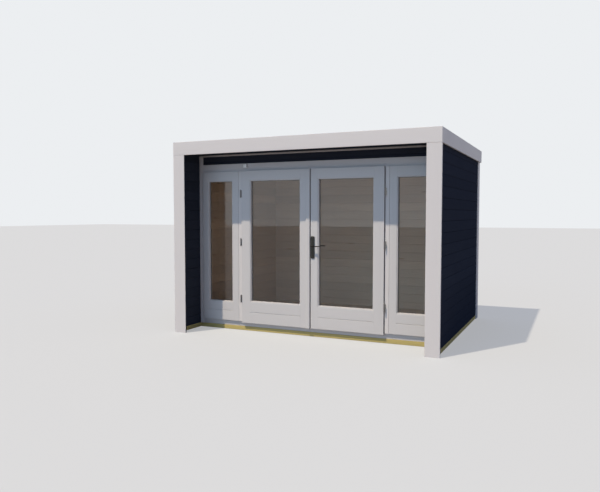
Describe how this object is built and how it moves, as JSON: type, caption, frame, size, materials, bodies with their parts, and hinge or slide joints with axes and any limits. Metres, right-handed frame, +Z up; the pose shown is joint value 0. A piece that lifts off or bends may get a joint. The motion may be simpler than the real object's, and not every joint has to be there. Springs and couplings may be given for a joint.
{
  "type": "garden office pod",
  "caption": "Flat-roofed timber garden office pod with dark board walls, a deep pale front frame and recessed glazed double doors between fixed windows.",
  "frame": {"origin": "on the ground under the middle of the pod, halfway between the outer faces of the fascias", "axes": "+X to the right as seen from the front, +Y from the front to the back, +Z up"},
  "size_m": [3.204, 2.6, 2.285],
  "materials": {
    "pale_paint": "satin off-white paint on timber",
    "navy_boards": "dark navy wood paint outside, plain timber inside",
    "treated_timber": "pressure-treated rough timber",
    "natural_timber": "planed softwood",
    "roof_sheet": "matt roofing sheet",
    "glass": "clear glazing unit",
    "dark_metal": "dark satin metal",
    "hinge_steel": "zinc-plated steel",
    "pale_plastic": "matt plastic"
  },
  "bodies": {
    "pod": {"foundation_sides": "treated_timber", "foundation_front": "treated_timber", "foundation_back": "treated_timber", "floor_joists": "treated_timber", "floor_boards": "natural_timber", "left_wall": "navy_boards", "right_wall": "navy_boards", "back_wall": "navy_boards", "front_header": "navy_boards", "roof_purlins": "natural_timber", "roof_deck": "natural_timber", "roof_covering": "roof_sheet", "soffit": "navy_boards", "soffit_batten": "pale_paint", "front_fascia": "pale_paint", "side_fascias": "pale_paint", "back_fascia": "pale_paint", "front_posts": "pale_paint", "back_posts": "pale_paint", "frame_sill": "pale_paint", "frame_head": "pale_paint", "head_casing": "pale_paint", "frame_mullions": "pale_paint", "frame_jambs": "pale_paint", "mullion_covers": "pale_paint", "corner_strips": "pale_paint", "left_window_sash": "pale_paint", "right_window_sash": "pale_paint", "window_glass": "glass", "window_beads": "pale_paint", "frame_hinges": "hinge_steel", "head_block": "pale_plastic"},
    "left_door": {"left_leaf": "pale_paint", "left_leaf_glass": "glass", "left_leaf_beads": "pale_paint", "meeting_strip": "pale_paint", "left_leaf_hinges": "hinge_steel"},
    "right_door": {"right_leaf": "pale_paint", "right_leaf_glass": "glass", "right_leaf_beads": "pale_paint", "handle_plates": "dark_metal", "right_leaf_hinges": "hinge_steel"},
    "lever": {"lever_handle": "dark_metal"}
  },
  "joints": [
    {"name": "left_door_hinge", "type": "hinge", "parent": "pod", "child": "left_door", "pos_m": [-0.9055, -0.9065, 1.024], "axis": [0, 0, -1], "range_deg": [0, 110]},
    {"name": "right_door_hinge", "type": "hinge", "parent": "pod", "child": "right_door", "pos_m": [0.9055, -0.9065, 1.024], "axis": [0, 0, 1], "range_deg": [0, 110]},
    {"name": "lever_turn", "type": "hinge", "parent": "right_door", "child": "lever", "pos_m": [0.049, -0.897, 1.061], "axis": [0, 1, 0], "range_deg": [0, 40], "stiffness_Nm_per_rad": 1, "springref_deg": -22.92}
  ]
}
